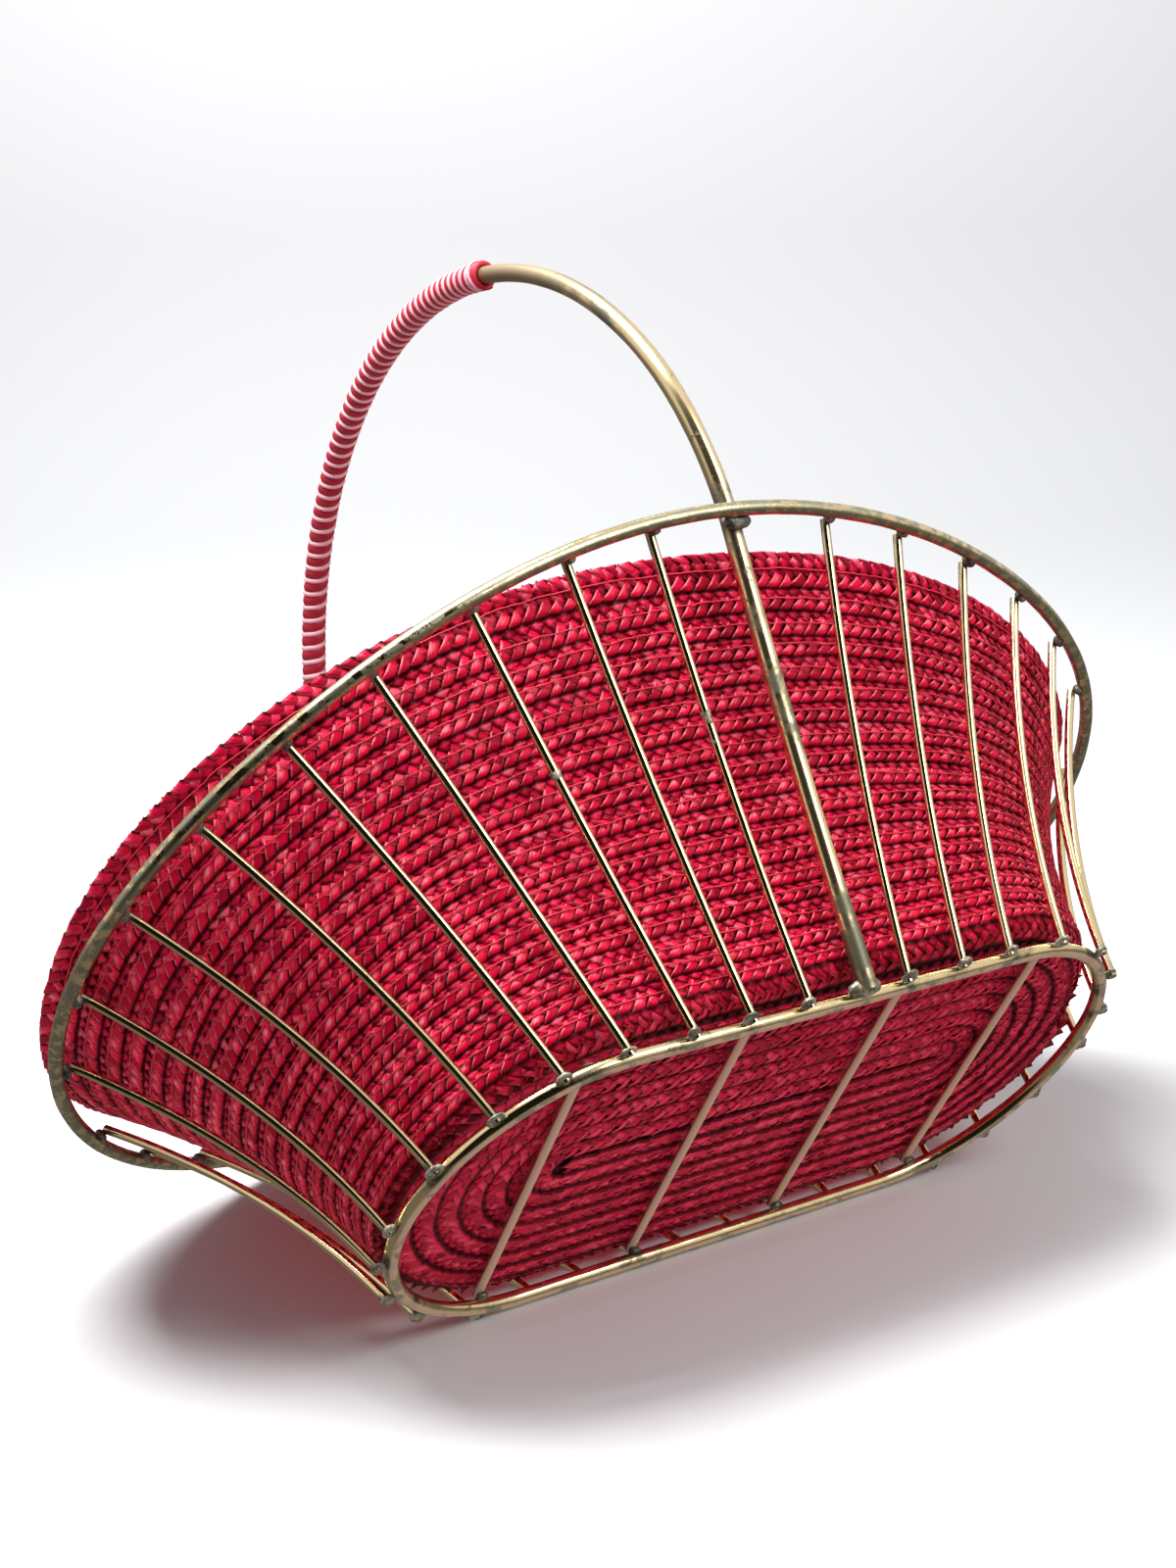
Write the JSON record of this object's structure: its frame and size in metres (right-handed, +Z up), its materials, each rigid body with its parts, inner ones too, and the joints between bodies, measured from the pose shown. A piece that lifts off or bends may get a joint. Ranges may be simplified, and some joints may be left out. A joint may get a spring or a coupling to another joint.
{
  "type": "wire basket with straw liner",
  "caption": "Oval flared basket of brass-plated wire with a saddle-shaped rim, a fixed arched handle and a loose liner of plaited straw.",
  "frame": {"origin": "centre of the base ring's underside, on the surface that the basket stands on", "axes": "+X along the basket's length, +Y across it towards the side where the handle's binding starts, +Z up"},
  "size_m": [0.331, 0.2728, 0.2802],
  "materials": {
    "brass_wire": "worn polished plating, tarnished at the joints",
    "red_cord": "glossy red cord with pale bands",
    "red_straw": "dyed plaited straw, slight sheen"
  },
  "bodies": {
    "cage": {"base_ring": "brass_wire", "rim_ring": "brass_wire", "stave_01": "brass_wire", "stave_02": "brass_wire", "stave_03": "brass_wire", "stave_04": "brass_wire", "stave_05": "brass_wire", "stave_06": "brass_wire", "stave_07": "brass_wire", "stave_08": "brass_wire", "stave_09": "brass_wire", "stave_10": "brass_wire", "stave_11": "brass_wire", "stave_12": "brass_wire", "stave_13": "brass_wire", "stave_14": "brass_wire", "stave_15": "brass_wire", "stave_16": "brass_wire", "stave_17": "brass_wire", "stave_18": "brass_wire", "stave_19": "brass_wire", "stave_20": "brass_wire", "stave_21": "brass_wire", "stave_22": "brass_wire", "stave_23": "brass_wire", "stave_24": "brass_wire", "stave_25": "brass_wire", "stave_26": "brass_wire", "stave_27": "brass_wire", "stave_28": "brass_wire", "stave_29": "brass_wire", "stave_30": "brass_wire", "cross_wire_1": "brass_wire", "cross_wire_2": "brass_wire", "cross_wire_3": "brass_wire", "cross_wire_4": "brass_wire", "handle": "brass_wire", "handle_wrap": "red_cord"},
    "liner": {"straw_liner": "red_straw"}
  },
  "joints": [
    {"name": "liner_lift", "type": "slide", "parent": "cage", "child": "liner", "axis": [0, 0, 1], "range_m": [0, 0.1]}
  ]
}
